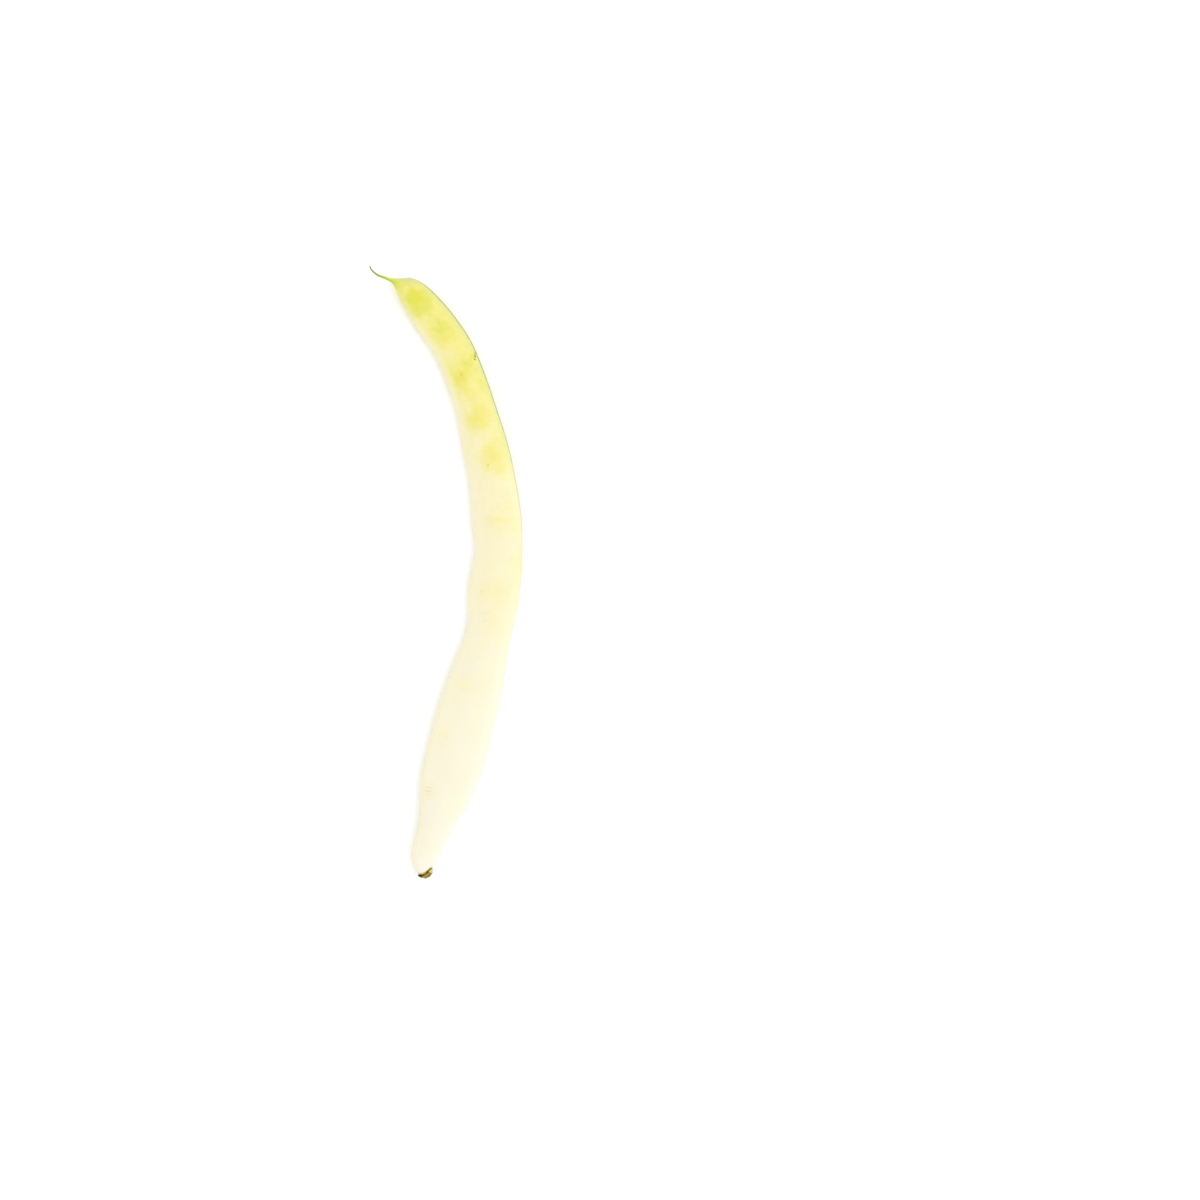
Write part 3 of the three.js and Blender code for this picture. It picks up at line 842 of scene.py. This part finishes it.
grainy = add(skin, NOISE, {"Vector": solid_place, "Scale": 1 / GRAIN_SIZE, "Detail": 3.0})
relief = mottled
for unevenness, share in ((brushed, 0.6), (grainy, 0.25), (marked, -0.8)):
    relief = add(skin, MATH, (unevenness, share, relief), "MULTIPLY_ADD")
bumped = add(skin, "ShaderNodeBump", {"Strength": 0.6, "Distance": RELIEF_HEIGHT, "Height": relief})
waxy = add(skin, MAP_RANGE, (mottled, *MOST_OF_NOISE, *WAX_ROUGHNESS))
skin_shader = skin.nodes["Principled BSDF"]
skin_shader.inputs["IOR"].default_value = 1.45  # plant wax
skin_shader.inputs["Subsurface Weight"].default_value = 0.25
skin_shader.inputs["Subsurface Radius"].default_value = (1.0, 0.8, 0.3)  # the flesh soaks up blue light
skin_shader.inputs["Subsurface Scale"].default_value = 2 * MM
for name, value in {"Base Color": colour, "Roughness": waxy, "Normal": bumped}.items():
    skin.links.new(value, skin_shader.inputs[name])
print("the skin has", len(skin.nodes), "nodes")

# %% [markdown]
# ## The dry stalk cap
# The pod hung from the dry cup of its flower. When it was picked, the stalk snapped just above the
# cup, so a scorched little collar still clasps the pod's end, with a torn stub on top. Its lobes
# shrank as they dried, which left ribs and creases. Modelling the creases one by one would take long
# and look no better than a rule: rings of points run from the hollow that faces the pod, over the
# rim, and out to the stub, and ribs and a little seeded noise crumple them.

# %% The cap's sizes
CAP_RADIUS = 2.5  # mm, as are all its sizes
CAP_HALF_HEIGHT = 2.0
CAP_LEAN = 0.05  # towards the back seam, for each mm of height
CAP_LOBES = 5
LOBE_DEPTH = 0.07  # as a share of the radius, as is that of the ribs
RIM_SKEW = 0.6  # the rim reaches further down the pod on the back side than on the belly side
SKEW_AT_SEAMS = 0.2  # the share of that skew right at the seams
RIBS = 15
RIB_DEPTH = 0.05
CRUMPLE = 0.16  # how far the creases shift a point
CRUMPLE_SIZE = 0.9
CRUMPLE_SEED = 4
CAP_WALL = [  # radius share and height at the seams, the same at the faces, share of the lobes
    (0.02, 1.12, 0.02, 1.12, 0.0),
    (0.35, 1.15, 0.30, 1.15, 0.0),
    (0.64, 1.00, 0.38, 1.26, 0.0),
    (0.86, 0.60, 0.50, 1.20, 0.3),
    (0.97, 0.28, 0.57, 1.06, 1.0),
    (1.02, 0.28, 0.63, 1.04, 1.0),
    (1.03, 0.58, 0.70, 1.18, 0.9),
    (0.97, 0.98, 0.78, 1.38, 0.6),
    (0.86, 1.52, 0.82, 1.66, 0.3),
    (0.68, 1.92, 0.70, 1.96, 0.1),
    (0.46, 2.04, 0.46, 2.04, 0.0),
    (0.39, 2.30, 0.39, 2.30, 0.0),
    (0.20, 2.20, 0.20, 2.20, 0.0),
    (0.01, 2.24, 0.01, 2.24, 0.0),
]
RIM_ROW = 4.5  # the place of the rim among the rows, which are counted from the hollow's middle
STUB_ROW = 10.6  # the place where the stub is torn
RINGS_A_ROW = 6
CAP_POINTS_ROUND = 120

cap_low, cap_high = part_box("stalk_cap")
cap_height = (cap_low.z + cap_high.z) / 2 / MM
print("the cap's middle is", round(cap_height, 2), "mm up")


# %% Work out a point of the cap
def between_rows(place):
    """The cap's wall at a place between two of its rows, on a smooth curve through them."""
    start = min(int(place), len(CAP_WALL) - 2)
    share = place - start
    steps = [min(max(start + step, 0), len(CAP_WALL) - 1) for step in (-1, 0, 1, 2)]
    row = []
    for before, here, after, beyond in zip(*(CAP_WALL[step] for step in steps)):
        bend = 3 * (here - after) + beyond - before
        turn = 2 * before - 5 * here + 4 * after - beyond + share * bend
        row.append(here + share / 2 * (after - before + share * turn))
    return row


def cap_point(place, angle):
    """A point of the cap, in mm, from its place in the rows and the angle round from the back seam."""
    seam_share, seam_height, face_share, face_height, lobes = between_rows(place)
    to_face = math.sin(angle) ** 2
    height = seam_height + (face_height - seam_height) * to_face
    height -= lobes * RIM_SKEW * math.cos(angle) * (SKEW_AT_SEAMS + (1 - SKEW_AT_SEAMS) * to_face)
    share = seam_share + (face_share - seam_share) * to_face
    ribs = math.cos(RIBS * angle / 2) ** 2 if place > RIM_ROW else 0.0
    share *= 1 + lobes * LOBE_DEPTH * math.sin(CAP_LOBES * angle) - RIB_DEPTH * ribs * share
    x = CAP_RADIUS * share * math.cos(angle) + CAP_LEAN * height
    y = CAP_HALF_HEIGHT * share * math.sin(angle)
    creased = Vector((x, y, height)) / CRUMPLE_SIZE
    if place > RIM_ROW:
        shift = noise.noise_vector(creased) * CRUMPLE * share
        x, y, height = x + shift.x, y + shift.y, height + shift.z
    flat = end_middle + end_across * x + end_outward * height
    return Vector((flat.x, flat.y, cap_height + y)), x / CAP_RADIUS


# %% Build the cap's rings
noise.seed_set(CRUMPLE_SEED)
husk = bmesh.new()
past_rim = husk.verts.layers.float.new("past_rim")
toward_back = husk.verts.layers.float.new("toward_back")
rings = []
for step in range((len(CAP_WALL) - 1) * RINGS_A_ROW + 1):
    ring_points = []
    for count in range(CAP_POINTS_ROUND):
        spot, share = cap_point(step / RINGS_A_ROW, count * 2 * math.pi / CAP_POINTS_ROUND)
        point = husk.verts.new(spot * MM)
        point[past_rim] = step / RINGS_A_ROW - RIM_ROW
        point[toward_back] = share
        ring_points.append(point)
    rings.append(ring_points)
for inner, outer in zip(rings, rings[1:]):
    for count in range(CAP_POINTS_ROUND):
        after = (count + 1) % CAP_POINTS_ROUND
        husk.faces.new((inner[count], outer[count], outer[after], inner[after]))
husk.faces.new(rings[0])
husk.faces.new(reversed(rings[-1]))
bmesh.ops.recalc_face_normals(husk, faces=husk.faces)
husk_mesh = bpy.data.meshes.new("husk")
husk.to_mesh(husk_mesh)
print("cap:", len(husk.faces), "faces,", round(husk.calc_volume(signed=True) * 1e9, 1), "cubic mm")
husk.free()

# %% [markdown]
# ## Torn fibres on the stub
# A stalk is a bundle of fibres that don't all tear at one height. They could be a particle system,
# but Geometry Nodes keep their number, size and seed in sight. The tree scatters short cones over
# the torn end only, tips each one over by chance, and sinks its root in the stub.

# %% The fibres' sizes, and where they stand
FIBRE_SIZES = {
    "Torn from": STUB_ROW - RIM_ROW,
    "Fibres per square metre": 6.0e7,
    "Fibre sides": 6,
    "Fibre sections": 2,
    "Fibre radius": 0.045 * MM,
    "Fibre tip radius": 0.01 * MM,
    "Fibre length": 0.26 * MM,
    "Shortest": 0.5,
    "Longest": 1.2,
    "Most lean": 0.5,
    "Seed": 4,
}
fibre_tree, size = start_tree("Torn fibres", FIBRE_SIZES)
rows_out = add(fibre_tree, "GeometryNodeInputNamedAttribute", ("past_rim",), data_type="FLOAT")
is_torn = add(fibre_tree, MATH, (rows_out, size["Torn from"]), "GREATER_THAN")
roots = add(
    fibre_tree, "GeometryNodeDistributePointsOnFaces",
    {"Mesh": size["Geometry"], "Selection": is_torn, "Density": size["Fibres per square metre"],
     "Seed": size["Seed"]},
)
print("about", round(FIBRE_SIZES["Fibres per square metre"] * MM * MM), "fibres on a square mm")

# %% One fibre, how it leans and how long it is
fibre = add(
    fibre_tree, "GeometryNodeMeshCone",
    {"Vertices": size["Fibre sides"], "Side Segments": size["Fibre sections"],
     "Radius Top": size["Fibre tip radius"], "Radius Bottom": size["Fibre radius"],
     "Depth": size["Fibre length"]},
)
lean = size["Most lean"]
leaning = add(
    fibre_tree, "FunctionNodeRandomValue",
    {"Min": add(fibre_tree, VECTOR_MATH, {0: (-1.0, -1.0, 0.0), "Scale": lean}, "SCALE"),
     "Max": add(fibre_tree, VECTOR_MATH, {0: (1.0, 1.0, 0.0), "Scale": lean}, "SCALE"),
     "Seed": size["Seed"]},
    data_type="FLOAT_VECTOR",
)
turned = add(
    fibre_tree, "FunctionNodeRotateRotation", (roots.node.outputs["Rotation"], leaning),
    rotation_space="LOCAL",
)
long_or_short = add(  # 2 and 3 are the node's sockets for the least and the most, as plain numbers
    fibre_tree, "FunctionNodeRandomValue",
    {2: size["Shortest"], 3: size["Longest"], "Seed": size["Seed"]}, out=1, data_type="FLOAT",
)
print("with one fibre:", len(fibre_tree.nodes))

# %% Stand a fibre on each root
fibres = add(
    fibre_tree, "GeometryNodeInstanceOnPoints",
    {"Points": roots, "Instance": fibre, "Rotation": turned, "Scale": long_or_short},
)
fibres = add(fibre_tree, "GeometryNodeRealizeInstances", (fibres,))
fibres = add(
    fibre_tree, "GeometryNodeStoreNamedAttribute",
    {"Geometry": fibres, "Name": "past_rim", "Value": len(CAP_WALL) - RIM_ROW},
)
capped = add(fibre_tree, "GeometryNodeJoinGeometry")
for shape in (size["Geometry"], fibres):
    fibre_tree.links.new(shape, capped.node.inputs["Geometry"])
end_tree(fibre_tree, capped, size["Finish"])
print("the fibres' tree has", len(fibre_tree.nodes), "nodes")

# %% Tear the stub
dry_husk = bpy.data.materials.new("Dry bean husk")
dry_husk.use_nodes = True
cap_mesh = run_tree(fibre_tree, bpy.data.objects.new("husk", husk_mesh), FIBRE_SIZES, dry_husk)
cap_mesh.name = "dry_stalk_cap"
dry_stalk_cap = bpy.data.objects.new("dry_stalk_cap", cap_mesh)
scene.collection.objects.link(dry_stalk_cap)
print("cap with its fibres:", len(cap_mesh.polygons), "faces")

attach(dry_stalk_cap, "root")
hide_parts("stalk_cap")

# %% [markdown]
# ## The finish of the dry cap
# Dead plant tissue is papery and dull. The rim, where sap dried, is scorched almost black; the wall
# is a dull olive gold with a brighter patch where the outer layer has worn off; the outer edge is
# brown, and the torn fibres are pale.

# %% The colours of the dry husk, from the rim out to the stub
HUSK_COLOURS = {  # rows past the rim
    -4.5: "#4a3a12", -0.6: "#6b5b12", 0.1: "#64540a", 0.6: "#574806", 1.3: "#5e5008", 1.9: "#7a6a1c",
    2.6: "#a0964a", 3.4: "#92803a", 4.3: "#7d6628", 6.2: "#8c7632", 9.5: "#b39b5a",
}
BELLY_SCORCH = 0.8  # rows by which the scorched rim is wider at the belly seam than in the middle
RAGGED_ROWS = 2.4  # rows by which blotches shift a colour
RAGGED_SIDE = 0.9  # the same from side to side, as a share of the radius
BLOTCH_SIZE = 0.9 * MM
CRINKLE_SIZE = 0.22 * MM

paper = dry_husk.node_tree
rows_past, to_back = (
    add(paper, "ShaderNodeAttribute", out="Fac", attribute_name=name)
    for name in ("past_rim", "toward_back")
)
husk_place = add(paper, "ShaderNodeTexCoord", out="Object")
blotched = add(paper, NOISE, {"Vector": husk_place, "Scale": 1 / BLOTCH_SIZE, "Detail": 3.0})
crinkled = add(paper, NOISE, {"Vector": husk_place, "Scale": 1 / CRINKLE_SIZE, "Detail": 4.0})
blotch = add(paper, MATH, (blotched, NOISE_MIDDLE), "SUBTRACT")
ragged_rows = add(paper, MATH, (blotch, RAGGED_ROWS, rows_past), "MULTIPLY_ADD")
ragged_back = add(paper, MATH, (blotch, RAGGED_SIDE, to_back), "MULTIPLY_ADD")
ramp_place = add(paper, MATH, (to_back, BELLY_SCORCH, ragged_rows), "MULTIPLY_ADD")
ramp_place = add(paper, MATH, (ramp_place, RIM_ROW), "ADD")
ramp_place = add(paper, MATH, (ramp_place, len(CAP_WALL)), "DIVIDE")
husk_colour = add(paper, RAMP, (ramp_place,))
from_hollow = {rows + RIM_ROW: hex_colour for rows, hex_colour in HUSK_COLOURS.items()}
set_stops(husk_colour, from_hollow, len(CAP_WALL))
print(len(HUSK_COLOURS), "colours from the hollow to the fibres")

# %% The patch where the outer layer has worn off, and the scorch along the rim
WORN_ROW = 2.7  # rows past the rim
WORN_ENDS = (1.6, 0.8)  # rows from there, outside and inside the patch's soft edge
WORN_SIDE = (0.4, 0.6)  # shares of the radius
WORN_COLOUR = "#cdae5a"
SCORCH_ROW = 1.5
SCORCH_ENDS = (1.5, 0.6)
SCORCH_SIDE = (-0.1, -0.7)
SCORCH_COLOUR = "#151000"

worn_side = add(paper, MAP_RANGE, (ragged_back, *WORN_SIDE), **SOFT)
worn_row = add(paper, MAP_RANGE, (far_from(paper, ragged_rows, WORN_ROW), *WORN_ENDS), **SOFT)
worn = add(paper, MATH, (worn_side, worn_row), "MULTIPLY")
on_belly_side = add(paper, MAP_RANGE, (to_back, *SCORCH_SIDE), **SOFT)
on_rim = add(paper, MAP_RANGE, (far_from(paper, rows_past, SCORCH_ROW), *SCORCH_ENDS), **SOFT)
scorched = add(paper, MATH, (on_belly_side, on_rim), "MULTIPLY")
print("worn", WORN_ROW, "and scorched", SCORCH_ROW, "rows past the rim")

# %% Painted shade of a fold down the cap, and its papery surface
FOLD_PLACE = 0.12  # share of the radius, towards the back seam, at the rim
FOLD_SLANT = 0.12  # and how far it strays from there with each row
FOLD_EDGE = (0.2, 0.04)  # shares of the radius from its middle
FOLD_SHADE_SHARE = 0.4
FOLD_SHADE_COLOUR = "#33280a"
CREASE_HEIGHT = 0.08 * MM
PAPER_ROUGHNESS = (0.55, 0.8)

# The cap's shape has no fold here. The dark line is painted shade, like the shade a crease would hold.
fold = add(paper, MATH, (rows_past, -FOLD_SLANT, to_back), "MULTIPLY_ADD")
fold = far_from(paper, fold, FOLD_PLACE)
painted_fold_shade = add(paper, MAP_RANGE, (fold, *FOLD_EDGE, 0.0, FOLD_SHADE_SHARE), **SOFT)
for share, hex_colour in ((worn, WORN_COLOUR), (scorched, SCORCH_COLOUR), (painted_fold_shade, FOLD_SHADE_COLOUR)):
    over = linear(hex_colour)
    husk_colour = add(paper, MIX, {"Factor": share, UNDER: husk_colour, OVER: over}, **IN_COLOUR)
creases = add(paper, MATH, (crinkled, 0.5, blotched), "MULTIPLY_ADD")
creased = add(paper, "ShaderNodeBump", {"Strength": 0.8, "Distance": CREASE_HEIGHT, "Height": creases})
papery = add(paper, MAP_RANGE, (crinkled, *MOST_OF_NOISE, *PAPER_ROUGHNESS))
paper_shader = paper.nodes["Principled BSDF"]
paper_shader.inputs["IOR"].default_value = 1.5  # dry plant fibre
paper_shader.inputs["Specular IOR Level"].default_value = 0.08  # its pores swallow most of the gloss
for name, value in {"Base Color": husk_colour, "Roughness": papery, "Normal": creased}.items():
    paper.links.new(value, paper_shader.inputs[name])
print("the husk has", len(paper.nodes), "nodes")
